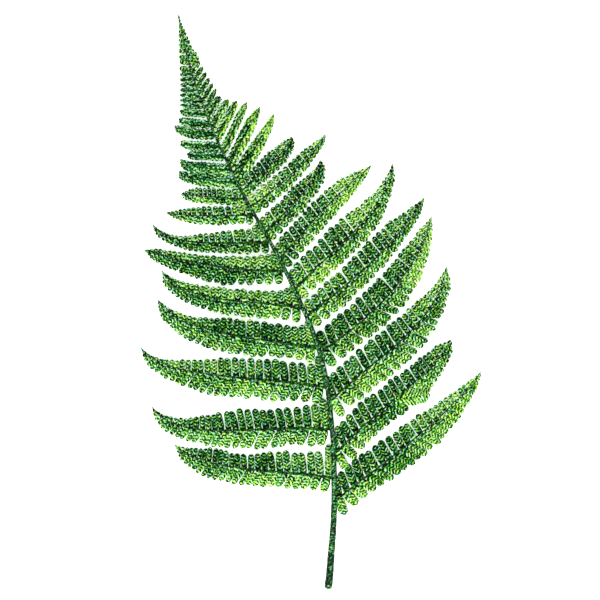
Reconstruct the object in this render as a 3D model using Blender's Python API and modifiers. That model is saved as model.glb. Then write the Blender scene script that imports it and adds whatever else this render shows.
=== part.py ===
"""Bracken frond, cut at the foot of its stalk and lying flat, face up.

The frond grew as one piece, so it is one solid: a tapered stalk whose upper
part is the rachis, sixteen side branches (pinnae) on each side, and a toothed
terminal blade. Each pinna is one thin blade with the cross-section of a low
roof, cut to its rib into leaflets.

+X is to the right and +Y points to the apex of the frond, as seen from above.
The frond lies on the plane z = 0, on the flat of its stalk and on the tips of
its large pinnae.
"""
import math

import bmesh
import bpy
import numpy as np
from mathutils import Vector

MM = 0.001

# Rachis: x, y and radius in millimetres, from the cut end to the apex
RACHIS_STATIONS = [
    (16.3, -287.0, 2.6),
    (16.7, -284.5, 3.8),
    (19.5, -253.5, 3.1),
    (22.0, -218.5, 2.8),
    (22.5, -178.5, 2.5),
    (20.5, -128.5, 2.5),
    (7.5, -48.5, 2.5),
    (-25.5, 29.5, 2.1),
    (-73.5, 117.5, 1.6),
    (-105.5, 188.5, 1.2),
    (-124.5, 246.5, 0.9),
    (-132.7, 284.0, 0.7),
]
RACHIS_RING_STEP = 26.0
TUBE_SIDES = 8
LEAST_RADIUS = 0.5
FLAT_SNAP = 0.15

# The stalk lies on a flat up to FLAT_END, climbs to LIFT_TOP and falls to the apex
FLAT_END = -237.0
CLIMB_END = -150.0
FALL_START = 30.0
APEX_Y = 286.5
LIFT_TOP = 9.0

# Blade thickness at the rib and at the leaflets' margins
RIB_THICKNESS = 1.7
MARGIN_THICKNESS = 0.8
RIB_HALF_WIDTH = 1.3
TIP_RIB_HALF_WIDTH = 0.6
RIB_THINNING = 0.8
RIB_SAMPLES = 60

# Slope of a pinna's two sides away from its rib, and how far its rib arches up
ROOF_SLOPE = 0.22
RIB_ARCH = 3.4
TIP_HEIGHT = 0.45
LEAFLET_FLOOR = 0.45

# Leaflets: widest pitch along the rib, the narrowest, and their shape
LARGE_PITCH = 12.4
SMALL_PITCH = 7.0
PITCH_PER_WIDTH = 0.70
TIP_PITCH_SHARE = 0.52
FIRST_SLIT = 3.4
LAST_PITCH_SHARE = 0.30
LEAST_DEPTH = 0.6
SHOULDER = 0.78
SLIT_SHARE = 0.07
TOOTH_DEPTH = 4.2
LEAN_UP = 17.0
LEAN_DOWN = 30.0
RACHIS_SHARE = 0.75
RACHIS_SHARE_REACH = 14.0

# Pinnae, in millimetres and degrees: the y of the foot on the rachis, the tip,
# the heading at the foot and at the tip (counter-clockwise from +X), the two
# handles of the rib's curve as shares of its chord, and the leaflets' reach on
# the side towards the apex and on the side towards the stalk
LEFT_PINNAE = [
    (-175.5, (-136.5, -143.5), (176, 144), (0.40, 0.30), (20.0, 16.0)),
    (-126.5, (-159.5, -105.5), (182, 126), (0.45, 0.25), (20.5, 17.0)),
    (-85.5, (-170.5, -46.5), (172, 130), (0.40, 0.22), (20.0, 18.5)),
    (-46.5, (-153.5, 1.5), (170, 133), (0.40, 0.30), (17.5, 17.0)),
    (-6.5, (-149.5, 30.5), (175, 128), (0.40, 0.30), (12.0, 14.5)),
    (30.5, (-167.5, 51.5), (181, 165), (0.40, 0.30), (11.0, 14.5)),
    (58.5, (-158.5, 76.5), (180, 129), (0.45, 0.25), (11.5, 11.0)),
    (85.5, (-145.5, 88.5), (179, 170), (0.35, 0.35), (7.5, 9.5)),
    (101.5, (-130.5, 107.5), (176, 172), (0.35, 0.35), (8.0, 6.5)),
    (118.5, (-132.5, 130.5), (178, 150), (0.35, 0.35), (5.2, 5.0)),
    (130.5, (-130.5, 142.5), (175, 130), (0.40, 0.25), (5.6, 6.0)),
    (144.5, (-124.5, 147.5), (178, 170), (0.35, 0.35), (4.0, 3.6)),
    (154.5, (-130.5, 160.5), (180, 150), (0.40, 0.25), (3.6, 3.2)),
    (166.5, (-137.0, 175.5), (180, 145), (0.40, 0.25), (4.4, 4.4)),
    (177.0, (-132.5, 182.5), (178, 150), (0.40, 0.25), (3.8, 3.8)),
    (187.0, (-131.5, 190.5), (178, 160), (0.40, 0.25), (3.0, 3.0)),
]
RIGHT_PINNAE = [
    (-199.5, (169.5, -69.5), (39, 51), (0.35, 0.35), (18.0, 17.0)),
    (-153.5, (139.5, -37.5), (41, 56), (0.35, 0.35), (17.0, 16.5)),
    (-100.5, (134.5, 35.5), (42, 80), (0.35, 0.35), (19.0, 19.5)),
    (-50.5, (119.5, 85.5), (33, 75), (0.35, 0.35), (18.5, 17.0)),
    (-14.5, (112.5, 104.5), (34, 58), (0.35, 0.35), (16.0, 14.5)),
    (11.5, (80.5, 138.5), (43, 80), (0.35, 0.35), (16.0, 16.0)),
    (42.5, (59.5, 136.5), (48, 39), (0.35, 0.35), (12.5, 12.0)),
    (68.5, (8.5, 141.5), (45, 73), (0.35, 0.35), (10.5, 11.5)),
    (94.5, (13.5, 167.5), (32, 53), (0.35, 0.35), (8.5, 9.5)),
    (109.5, (-19.5, 164.5), (45, 65), (0.35, 0.35), (8.5, 9.0)),
    (121.5, (-37.5, 187.5), (58, 67), (0.35, 0.35), (6.0, 7.0)),
    (135.5, (-51.5, 194.5), (62, 66), (0.35, 0.35), (5.6, 6.0)),
    (148.5, (-64.5, 199.5), (62, 70), (0.35, 0.35), (5.0, 5.2)),
    (161.5, (-75.0, 200.5), (62, 68), (0.35, 0.35), (4.6, 4.6)),
    (172.5, (-83.5, 202.0), (62, 66), (0.35, 0.35), (4.2, 4.0)),
    (183.0, (-91.5, 205.0), (62, 66), (0.35, 0.35), (3.8, 3.4)),
]
TAPER_POWER = 4.5
RIGHT_BEND_TAPER = 22.0
SMALL_TAPER_POWER = 2.6
SMALL_REACH = 7.0

# On the hollow side of a bent pinna the leaflets shorten sooner
HOLLOW_START = 0.5
HOLLOW_SHARE = 0.25
HOLLOW_BEND = 75.0

# Reach of the first leaflets beside the rachis: shorter, but longer on the upper side
BASE_SHORTENING = 0.14
BASE_REACH = 0.12
BASAL_GROWTH = 0.35
BASAL_GROWTH_REACH = 9.0

# Terminal blade: its lobes are the topmost small pinnae, left and right
TERMINAL_START = 187.0
TERMINAL_LOBES = 15
TERMINAL_REACH = (20.5, 15.0)
TERMINAL_LEAN = (22.0, 42.0)
TERMINAL_POWER = 1.8
TERMINAL_END_REACH = 2.6
TERMINAL_RIB_HALF_WIDTHS = (1.0, 0.6)
TERMINAL_FIRST_LOBE = 0.3
TERMINAL_TIP_LOBES = 0.8

FROND_GREEN = (0.060, 0.190, 0.022, 1.0)
FROND_ROUGHNESS = 0.55


def smooth_through(y, column):
    """Value of a rachis column at height y, by a cubic through the stations."""
    stations = np.array(RACHIS_STATIONS)
    levels = stations[:, 1]
    values = stations[:, column]
    slopes = np.gradient(values, levels)
    i = int(np.clip(np.searchsorted(levels, y) - 1, 0, len(levels) - 2))
    span = levels[i + 1] - levels[i]
    t = float(np.clip((y - levels[i]) / span, 0.0, 1.0))
    start = (1 + 2 * t) * (1 - t) ** 2 * values[i] + t * (1 - t) ** 2 * span * slopes[i]
    end = t * t * (3 - 2 * t) * values[i + 1] - t * t * (1 - t) * span * slopes[i + 1]
    return start + end


def smoothstep(a, b, y):
    t = min(max((y - a) / (b - a), 0.0), 1.0)
    return t * t * (3 - 2 * t)


def rachis_radius(y):
    return max(smooth_through(y, 2), LEAST_RADIUS)


def rachis_point(y):
    """Centre of the rachis at height y, with its flat underside lifted off z = 0."""
    lift = LIFT_TOP * smoothstep(FLAT_END, CLIMB_END, y)
    lift *= 1.0 - smoothstep(FALL_START, APEX_Y, y)
    radius = rachis_radius(max(y, RACHIS_STATIONS[1][1]))
    flat_depth = radius * math.cos(math.pi / TUBE_SIDES)
    return Vector((smooth_through(y, 0), y, flat_depth + lift))


def rachis_heading(y):
    step = 2.0
    a = rachis_point(y - step)
    b = rachis_point(y + step)
    return (b - a).to_2d().normalized()


def turned(direction, degrees):
    angle = math.radians(degrees)
    c = math.cos(angle)
    s = math.sin(angle)
    return Vector((c * direction.x - s * direction.y, s * direction.x + c * direction.y))


def heading(degrees):
    return turned(Vector((1.0, 0.0)), degrees)


class Rib:
    """The rib of one pinna: a plane cubic curve with a height along it."""

    def __init__(self, foot_y, tip, headings, handles):
        self.foot = rachis_point(foot_y)
        self.rachis_way = rachis_heading(foot_y)
        self.rachis_share = RACHIS_SHARE
        start = self.foot.to_2d()
        end = Vector(tip)
        chord = (end - start).length
        self.cage = [
            start,
            start + heading(headings[0]) * handles[0] * chord,
            end - heading(headings[1]) * handles[1] * chord,
            end,
        ]
        self.times = np.linspace(0, 1, RIB_SAMPLES + 1)
        samples = [self.plane_point(t) for t in self.times]
        steps = [(b - a).length for a, b in zip(samples, samples[1:])]
        self.travel = np.concatenate(([0.0], np.cumsum(steps)))
        self.length = float(self.travel[-1])

    def plane_point(self, t):
        a, b, c, d = self.cage
        u = 1 - t
        return a * u ** 3 + b * 3 * u * u * t + c * 3 * u * t * t + d * t ** 3

    def at(self, share):
        """Plane point and direction at a share of the rib's own length."""
        t = float(np.interp(share * self.length, self.travel, self.times))
        before = self.plane_point(max(t - 0.01, 0.0))
        after = self.plane_point(min(t + 0.01, 1.0))
        return self.plane_point(t), (after - before).normalized()

    def height(self, share):
        fall = self.foot.z * (1 - share ** 2) + TIP_HEIGHT * share ** 2
        return fall + RIB_ARCH * 4 * share * (1 - share)


class RachisRib:
    """The top of the rachis as the rib of the terminal blade."""

    def __init__(self, start_y):
        self.start_y = start_y
        self.rachis_way = rachis_heading(start_y)
        self.rachis_share = 0.0
        self.length = (rachis_point(APEX_Y) - rachis_point(start_y)).length

    def at(self, share):
        y = self.start_y + (APEX_Y - self.start_y) * share
        return rachis_point(y).to_2d(), rachis_heading(min(y, APEX_Y - 4.0))

    def height(self, share):
        y = self.start_y + (APEX_Y - self.start_y) * share
        return rachis_point(y).z


def slit_shares(rib, reach, taper):
    """Where the slits between leaflets meet the rib, as shares of its length."""
    pitch = min(max(PITCH_PER_WIDTH * max(reach), SMALL_PITCH), LARGE_PITCH)
    place = FIRST_SLIT
    shares = []
    while place < rib.length - LAST_PITCH_SHARE * pitch:
        share = place / rib.length
        shares.append(share)
        place += pitch * (1 - (1 - TIP_PITCH_SHARE) * share ** taper)
    return shares


def leaflet_way(rib, direction, place, side, lean):
    """Way of a slit: square to the rib, leaning to its tip, along the rachis at its foot."""
    square = turned(direction, side * (90 - lean))
    along = rib.rachis_way if square.dot(rib.rachis_way) > 0 else -rib.rachis_way
    share = rib.rachis_share * math.exp(-place / RACHIS_SHARE_REACH)
    return (square * (1 - share) + along * share).normalized()


class BladeSurface:
    """Open surface of a blade, in millimetres, split into triangles.

    Each point also has its share of the rib's thickness.
    """

    def __init__(self, rib, width_at):
        self.rib = rib
        self.width_at = width_at
        self.points = []
        self.triangles = []
        self.fullness = []
        self.rails = {1: [], -1: []}

    def add(self, plane_point, height, share_of_rib):
        self.points.append(Vector((plane_point.x, plane_point.y, height)))
        self.fullness.append(share_of_rib)
        return len(self.points) - 1

    def rail_point(self, share, side):
        centre, direction = self.rib.at(share)
        return centre + turned(direction, 90 * side) * self.width_at(share)

    def lay_rib(self, shares):
        """The rib's own strip, from the foot through every slit to the tip."""
        for share in shares:
            for side in (1, -1):
                rail = self.rail_point(share, side)
                thickness = 1.0 - RIB_THINNING * share
                self.rails[side].append(self.add(rail, self.rib.height(share), thickness))
        tip = self.add(self.rib.at(1.0)[0], self.rib.height(1.0), 0.0)
        for i in range(len(shares) - 1):
            left_a, left_b = self.rails[1][i:i + 2]
            right_a, right_b = self.rails[-1][i:i + 2]
            self.triangles.append((left_a, right_a, right_b))
            self.triangles.append((left_a, right_b, left_b))
        self.triangles.append((self.rails[1][-1], self.rails[-1][-1], tip))

    def slit(self, share, side, lean, reach):
        """A slit's start at the rib, its way outwards, its depth and the rib's height."""
        direction = self.rib.at(share)[1]
        way = leaflet_way(self.rib, direction, share * self.rib.length, side, lean)
        square = abs(way.dot(turned(direction, 90 * side)))
        depth = max(reach - self.width_at(share), LEAST_DEPTH) / square
        return self.rail_point(share, side), way, depth, self.rib.height(share)

    def grow_leaflet(self, side, rails, slit_a, slit_b):
        """A leaflet between two slits: five-sided, or one tooth where it is short."""
        start_a, way_a, depth_a, z_a = slit_a
        start_b, way_b, depth_b, z_b = slit_b
        end = (start_a + way_a * depth_a + start_b + way_b * depth_b) / 2
        drop = ROOF_SLOPE * (depth_a + depth_b) / 2
        point = self.add(end, max((z_a + z_b) / 2 - drop, LEAFLET_FLOOR), 0.0)
        if depth_b < TOOTH_DEPTH:
            leaf = [(rails[0], point, rails[1])]
        else:
            shoulder_a = start_a + way_a * depth_a * SHOULDER
            shoulder_b = start_b + way_b * depth_b * SHOULDER
            inset = (shoulder_b - shoulder_a) * SLIT_SHARE
            drop *= SHOULDER
            lower = self.add(shoulder_a + inset, max(z_a - drop, LEAFLET_FLOOR), 0.0)
            upper = self.add(shoulder_b - inset, max(z_b - drop, LEAFLET_FLOOR), 0.0)
            leaf = [(rails[0], lower, upper), (rails[0], upper, rails[1]), (lower, point, upper)]
        for corners in leaf:
            self.triangles.append(corners if side < 0 else corners[::-1])


def blade_surface(rib, shares, reach_at, leans, width_at):
    """A rib strip with one leaflet on each side between neighbouring slits."""
    surface = BladeSurface(rib, width_at)
    surface.lay_rib([0.0] + shares)
    for side, lean in ((1, leans[0]), (-1, leans[1])):
        slits = [surface.slit(share, side, lean, reach_at(share, side)) for share in shares]
        rails = surface.rails[side][1:]
        for i in range(len(shares) - 1):
            surface.grow_leaflet(side, rails[i:i + 2], slits[i], slits[i + 1])
    return surface


def blade_object(name, surface, collection):
    """A blade's surface given its thickness: thick at the rib, thin at the margins."""
    mesh = bpy.data.meshes.new(name)
    mesh.from_pydata([p * MM for p in surface.points], [], surface.triangles)
    mesh.update()
    blade = bpy.data.objects.new(name, mesh)
    collection.objects.link(blade)
    group = blade.vertex_groups.new(name="rib")
    for i, share in enumerate(surface.fullness):
        group.add([i], share, "REPLACE")
    solid = blade.modifiers.new("thickness", "SOLIDIFY")
    solid.thickness = RIB_THICKNESS * MM
    solid.offset = 0.0
    solid.vertex_group = group.name
    solid.thickness_vertex_group = MARGIN_THICKNESS / RIB_THICKNESS
    return blade


def make_pinna(name, row, right, collection):
    foot_y, tip, headings, handles, reach = row
    rib = Rib(foot_y, tip, headings, handles)
    small = max(reach) < SMALL_REACH
    taper = SMALL_TAPER_POWER if small else TAPER_POWER
    up_side = 1 if right else -1
    bend = abs(headings[1] - headings[0])
    if right and not small:
        taper -= bend / RIGHT_BEND_TAPER
    hollow = 0.0 if small else min(HOLLOW_SHARE + bend / HOLLOW_BEND, 1.0)

    def reach_at(share, side):
        outline = 1 - share ** taper
        outline *= 1 - BASE_SHORTENING * (1 - min(share / BASE_REACH, 1.0))
        if side != up_side:
            return reach[1] * outline
        sooner = 1 - smoothstep(HOLLOW_START, 1.0, share)
        beside = (share * rib.length / BASAL_GROWTH_REACH) ** 2
        growth = 1 + BASAL_GROWTH * math.exp(-beside)
        return reach[0] * growth * (outline + (min(outline, sooner) - outline) * hollow)

    def width_at(share):
        return RIB_HALF_WIDTH + (TIP_RIB_HALF_WIDTH - RIB_HALF_WIDTH) * share

    leans = (LEAN_UP, LEAN_DOWN) if right else (LEAN_DOWN, LEAN_UP)
    shares = slit_shares(rib, reach, taper)
    surface = blade_surface(rib, shares, reach_at, leans, width_at)
    return blade_object(name, surface, collection)


def make_terminal(collection):
    rib = RachisRib(TERMINAL_START)

    def reach_at(share, side):
        full = TERMINAL_REACH[0] if side > 0 else TERMINAL_REACH[1]
        return full * (1 - share) ** TERMINAL_POWER + TERMINAL_END_REACH * (1 - share ** 3)

    def width_at(share):
        start, end = TERMINAL_RIB_HALF_WIDTHS
        return start + (end - start) * share

    whole = TERMINAL_LOBES + TERMINAL_TIP_LOBES
    shares = [(i + TERMINAL_FIRST_LOBE) / whole for i in range(TERMINAL_LOBES + 1)]
    surface = blade_surface(rib, shares, reach_at, TERMINAL_LEAN, width_at)
    return blade_object("terminal_blade", surface, collection)


def make_stalk(collection):
    """Stalk and rachis: one tapered tube with a flat side down."""
    levels = [station[1] for station in RACHIS_STATIONS[:2]]
    count = round((RACHIS_STATIONS[-1][1] - levels[-1]) / RACHIS_RING_STEP)
    levels += list(np.linspace(levels[-1], RACHIS_STATIONS[-1][1], count + 1)[1:])
    path = bpy.data.curves.new("frond", "CURVE")
    path.dimensions = "3D"
    path.twist_mode = "Z_UP"
    path.bevel_depth = MM
    path.bevel_resolution = TUBE_SIDES // 2 - 2
    path.use_fill_caps = True
    line = path.splines.new("POLY")
    line.points.add(len(levels) - 1)
    for point, y in zip(line.points, levels):
        point.co = (*(rachis_point(y) * MM), 1.0)
        point.radius = rachis_radius(y)
        point.tilt = math.pi / TUBE_SIDES
    guide = bpy.data.objects.new("stalk_path", path)
    collection.objects.link(guide)
    depsgraph = bpy.context.evaluated_depsgraph_get()
    mesh = bpy.data.meshes.new_from_object(guide.evaluated_get(depsgraph))
    stalk = bpy.data.objects.new("frond", mesh)
    collection.objects.link(stalk)
    stalk.matrix_world = guide.matrix_world
    bpy.data.objects.remove(guide)
    body = bmesh.new()
    body.from_mesh(mesh)
    bmesh.ops.remove_doubles(body, verts=body.verts, dist=0.00001)
    for vert in body.verts:
        if vert.co.z < FLAT_SNAP * MM:
            vert.co.z = 0.0
    body.to_mesh(mesh)
    body.free()
    return stalk


def join_all(target, blades):
    """Grow the blades together with the stalk into one closed solid."""
    union = target.modifiers.new("grown_together", "BOOLEAN")
    union.operation = "UNION"
    union.operand_type = "COLLECTION"
    union.collection = blades
    union.solver = "MANIFOLD"
    bpy.context.view_layer.update()
    depsgraph = bpy.context.evaluated_depsgraph_get()
    mesh = bpy.data.meshes.new_from_object(target.evaluated_get(depsgraph))
    target.modifiers.clear()
    target.data = mesh
    for blade in list(blades.objects):
        bpy.data.objects.remove(blade)
    bpy.data.collections.remove(blades)


def leaf_material():
    material = bpy.data.materials.new("frond_green")
    material.use_nodes = True
    shader = material.node_tree.nodes["Principled BSDF"]
    shader.inputs["Base Color"].default_value = FROND_GREEN
    shader.inputs["Roughness"].default_value = FROND_ROUGHNESS
    shader.inputs["Metallic"].default_value = 0.0
    return material


def new_collection(name):
    collection = bpy.data.collections.new(name)
    bpy.context.scene.collection.children.link(collection)
    return collection


def main():
    for item in list(bpy.data.objects):
        bpy.data.objects.remove(item)
    parts = new_collection("bracken_frond")
    blades = new_collection("blades")
    frond = make_stalk(parts)
    for i, row in enumerate(LEFT_PINNAE):
        make_pinna(f"left_pinna_{i + 1:02d}", row, False, blades)
    for i, row in enumerate(RIGHT_PINNAE):
        make_pinna(f"right_pinna_{i + 1:02d}", row, True, blades)
    make_terminal(blades)
    join_all(frond, blades)
    frond.data.name = "frond"
    frond.data.materials.clear()
    frond.data.materials.append(leaf_material())
    frond.data.shade_smooth()
    frond.data.set_sharp_from_angle(angle=math.radians(35))


main()
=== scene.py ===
"""A picked bracken frond that lies flat, face up, as it looks from straight above.

The frond is a stalk that runs on as the rachis, 45 pinnae and an apex, each a
piece of its own. A pinna is a tapered rib with a row of leaflets on each side. A
leaflet is one closed shell with a rounded end, a sunken midvein, puckers between
its herringbone side veins and margins that curl down. Its tone, which holds
painted light and shade, is stored on the mesh, where the materials read it.

Lengths are in millimetres in the frond's own frame until a mesh is made. Plan
points are complex numbers, x + iy, so that a product turns a direction. All
random draws come from one seeded generator, so their order is part of the shape.
"""
import math

import bpy
import numpy as np
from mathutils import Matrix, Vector


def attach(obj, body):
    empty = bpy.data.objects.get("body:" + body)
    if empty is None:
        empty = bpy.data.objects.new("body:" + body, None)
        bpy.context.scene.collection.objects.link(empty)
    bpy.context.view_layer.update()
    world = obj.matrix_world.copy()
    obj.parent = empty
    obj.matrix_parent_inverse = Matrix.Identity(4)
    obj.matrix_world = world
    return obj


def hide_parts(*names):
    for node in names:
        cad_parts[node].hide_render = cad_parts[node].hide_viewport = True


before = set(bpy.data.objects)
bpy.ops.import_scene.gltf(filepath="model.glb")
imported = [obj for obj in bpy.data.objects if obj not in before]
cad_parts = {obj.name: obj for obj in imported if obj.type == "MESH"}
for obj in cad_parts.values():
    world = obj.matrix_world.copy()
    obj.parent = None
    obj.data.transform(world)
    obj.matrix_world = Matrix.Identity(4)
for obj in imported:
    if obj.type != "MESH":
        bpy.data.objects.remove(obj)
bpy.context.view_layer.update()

MM = 0.001
SEED = 41

# Rachis: x, y and radius, from the cut end to the apex
RACHIS_STATIONS = [
    (16.3, -287.0, 2.6),
    (16.7, -284.5, 3.9),
    (19.5, -253.5, 3.5),
    (22.0, -218.5, 3.1),
    (22.5, -178.5, 2.8),
    (20.5, -128.5, 2.5),
    (7.5, -48.5, 2.5),
    (-25.5, 29.5, 2.1),
    (-73.5, 117.5, 1.6),
    (-105.5, 188.5, 1.2),
    (-124.5, 246.5, 0.9),
    (-132.7, 284.0, 0.7),
]
CUT_END = RACHIS_STATIONS[0][1]
FULL_RADIUS_FROM = RACHIS_STATIONS[1][1]
APEX_Y = 286.5
LEAST_RADIUS = 0.5
# It lies flat up to FLAT_END, is lifted by CLIMB_END and sinks from FALL_START on
FLAT_END = -237.0
CLIMB_END = -150.0
FALL_START = 30.0
LIFT_TOP = 9.0
# Share of the radius between the axis and the flat under the solid
FLAT_DEPTH = math.cos(math.pi / 8)
WAY_STEP = 2.0

# Tones of the leaflets: painted light and shade, lighter where a row is lit and
# darker where it is shaded
DARK = 0.13
DIM = 0.30
MID = 0.44
LIT = 0.60
BRIGHT = 0.76
VIVID = 0.95

# Shares of a rib's length at which the reach of its leaflets is listed, and the
# reach at the very tip
REACH_SHARES = (0.0, 0.15, 0.35, 0.55, 0.75, 0.90, 1.0)
REACH_TIP = 0.2

# Usual handles of a rib's curve, as shares of its chord
EVEN = (0.35, 0.35)

# Pinnae: y of the foot, tip, headings at foot and tip, handles of the rib's
# curve, pairs of leaflets; then for the row towards the apex and for the other
# row the reach at the listed shares, and the tones, painted light and shade, as
# pairs of share and tone
LEFT_PINNAE = [
    (
        -175.5, (-136.5, -143.5), (171, 144), (0.40, 0.30), 25,
        (23, 23.5, 20.5, 14.5, 14.5, 6.4), (16.5, 16, 17, 17, 15.5, 10.2),
        ((0.0, LIT), (0.28, MID), (0.40, DARK), (0.75, DARK), (1.0, MID)),
        ((0.0, LIT), (0.20, BRIGHT), (0.48, BRIGHT), (0.56, MID), (1.0, DIM)),
    ),
    (
        -126.5, (-159.5, -105.5), (177, 126), (0.45, 0.25), 27,
        (24, 22, 20, 20, 11, 4.4), (18, 17.5, 19.5, 17.5, 13.5, 9.2),
        ((0.0, LIT), (0.10, MID), (0.22, DARK), (0.65, DARK), (0.80, MID), (1.0, MID)),
        ((0.0, MID), (0.10, LIT), (0.70, LIT), (0.80, MID), (1.0, MID)),
    ),
    (
        -85.5, (-170.5, -46.5), (170, 130), (0.40, 0.22), 27,
        (22, 20.5, 21, 18.5, 9.8, 2.6), (18, 19, 22, 20.7, 15.5, 9.7),
        ((0.0, LIT), (0.08, MID), (0.15, DARK), (0.45, DIM), (0.55, LIT), (0.72, LIT), (1.0, MID)),
        ((0.0, MID), (0.22, MID), (0.30, LIT), (0.50, LIT), (0.58, MID), (0.66, DIM), (1.0, DIM)),
    ),
    (
        -46.5, (-153.5, 1.5), (170, 133), (0.40, 0.30), 26,
        (21, 18, 18, 16, 7.2, 2.4), (16, 15, 18, 19.5, 16.5, 11.2),
        ((0.0, LIT), (0.12, MID), (0.22, DARK), (0.60, DARK),
         (0.70, MID), (0.80, BRIGHT), (1.0, LIT)),
        ((0.0, BRIGHT), (0.15, LIT), (0.50, MID), (0.70, DIM), (1.0, MID)),
    ),
    (
        -6.5, (-149.5, 30.5), (171, 128), (0.40, 0.30), 24,
        (17, 14.5, 12.5, 12, 8.5, 3.9), (15, 14.5, 16, 14.5, 12, 9.2),
        ((0.0, LIT), (0.35, LIT), (0.45, BRIGHT), (0.62, BRIGHT), (0.75, LIT), (1.0, MID)),
        ((0.0, BRIGHT), (0.15, LIT), (0.42, LIT), (0.55, DIM), (0.70, DARK), (1.0, MID)),
    ),
    (
        30.5, (-167.5, 51.5), (181, 165), (0.40, 0.30), 23,
        (17, 15, 13, 9.5, 7.5, 5.4), (13, 14, 17.5, 16.5, 12.5, 8.2),
        ((0.0, LIT), (0.25, BRIGHT), (0.40, BRIGHT), (0.50, MID), (0.75, LIT), (1.0, LIT)),
        ((0.0, LIT), (0.15, MID), (0.25, DARK), (0.75, DARK), (1.0, MID)),
    ),
    (
        58.5, (-158.5, 76.5), (180, 129), (0.45, 0.25), 22,
        (15, 14.5, 13, 9.2, 3.9, 2), (10, 11.5, 10.5, 9.5, 8, 5.7),
        ((0.0, LIT), (0.20, LIT), (0.35, DIM), (0.55, MID), (0.80, BRIGHT), (1.0, LIT)),
        ((0.0, DIM), (0.40, DIM), (0.55, DARK), (1.0, DARK)),
    ),
    (
        85.5, (-145.5, 88.5), (179, 170), EVEN, 16,
        (10, 10, 10, 10, 7.5, 4.4), (9, 9, 9.5, 9, 7, 3.7),
        ((0.0, MID), (0.18, LIT), (0.35, DIM), (0.70, DIM), (1.0, LIT)),
        ((0.0, VIVID), (0.12, LIT), (0.28, DIM), (0.50, MID), (0.70, LIT), (1.0, LIT)),
    ),
    (
        101.5, (-130.5, 107.5), (176, 172), EVEN, 14,
        (9, 9, 9.5, 9.5, 8.5, 5), (7.5, 7.5, 7.5, 7.5, 7.5, 5.5),
        ((0.0, LIT), (0.28, LIT), (0.36, DARK), (0.70, DARK), (1.0, MID)),
        ((0.0, VIVID), (0.15, MID), (0.38, DARK), (0.50, LIT),
         (0.62, BRIGHT), (0.75, MID), (1.0, DIM)),
    ),
    (
        118.5, (-132.5, 130.5), (178, 150), EVEN, 16,
        (6.5, 6.5, 6.5, 6, 4, 2.5), (6, 6, 6.5, 7.5, 8, 6.5),
        ((0.0, DIM), (0.15, MID), (0.40, MID), (0.60, DARK), (0.75, MID), (1.0, BRIGHT)),
        ((0.0, VIVID), (0.28, VIVID), (0.42, LIT), (0.58, MID), (0.80, DARK), (1.0, DARK)),
    ),
    (
        130.5, (-130.5, 142.5), (175, 130), (0.40, 0.25), 14,
        (6.5, 6.5, 6.5, 6, 4, 2.5), (6.5, 6.5, 7, 8, 8, 5.5),
        ((0.0, DIM), (0.14, BRIGHT), (0.28, LIT), (0.42, DIM),
         (0.60, DARK), (0.75, MID), (1.0, BRIGHT)),
        ((0.0, LIT), (0.13, VIVID), (0.30, LIT), (0.50, LIT), (0.65, MID), (1.0, MID)),
    ),
    (
        144.5, (-124.5, 147.5), (178, 170), EVEN, 12,
        (5, 5, 5, 5, 4.5, 3.5), (5, 5, 5, 5, 5.5, 4.5),
        ((0.0, MID), (0.30, LIT), (0.60, MID), (1.0, LIT)),
        ((0.0, LIT), (0.20, BRIGHT), (0.40, MID), (0.60, DARK), (1.0, DARK)),
    ),
    (
        154.5, (-130.5, 160.5), (180, 150), (0.40, 0.25), 12,
        (5, 5, 5, 4.5, 3.5, 2.5), (5, 5, 5, 6, 6.5, 5.5),
        ((0.0, DIM), (0.30, LIT), (0.50, VIVID), (1.0, VIVID)),
        ((0.0, DIM), (0.20, MID), (0.50, DARK), (0.70, MID), (1.0, MID)),
    ),
    (
        166.5, (-137.0, 175.5), (180, 145), (0.40, 0.25), 12,
        (5, 5, 5, 5, 4, 3), (5.5, 5.5, 6.5, 7, 6, 4.5),
        ((0.0, MID), (0.25, LIT), (0.55, LIT), (1.0, MID)),
        ((0.0, DIM), (0.50, DARK), (0.60, MID), (1.0, LIT)),
    ),
    (
        177.0, (-132.5, 182.5), (178, 150), (0.40, 0.25), 10,
        (4.5, 4.5, 4.5, 4.5, 4, 3), (5, 5, 5, 5, 5, 4),
        ((0.0, MID), (0.25, BRIGHT), (0.50, LIT), (1.0, LIT)),
        ((0.0, DIM), (0.60, DARK), (1.0, MID)),
    ),
    (
        187.0, (-131.5, 190.5), (178, 160), (0.40, 0.25), 9,
        (4, 4, 4, 4, 4, 3), (4, 4, 4, 4.5, 4.5, 3.5),
        ((0.0, LIT), (1.0, LIT)),
        ((0.0, DIM), (1.0, MID)),
    ),
]
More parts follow.
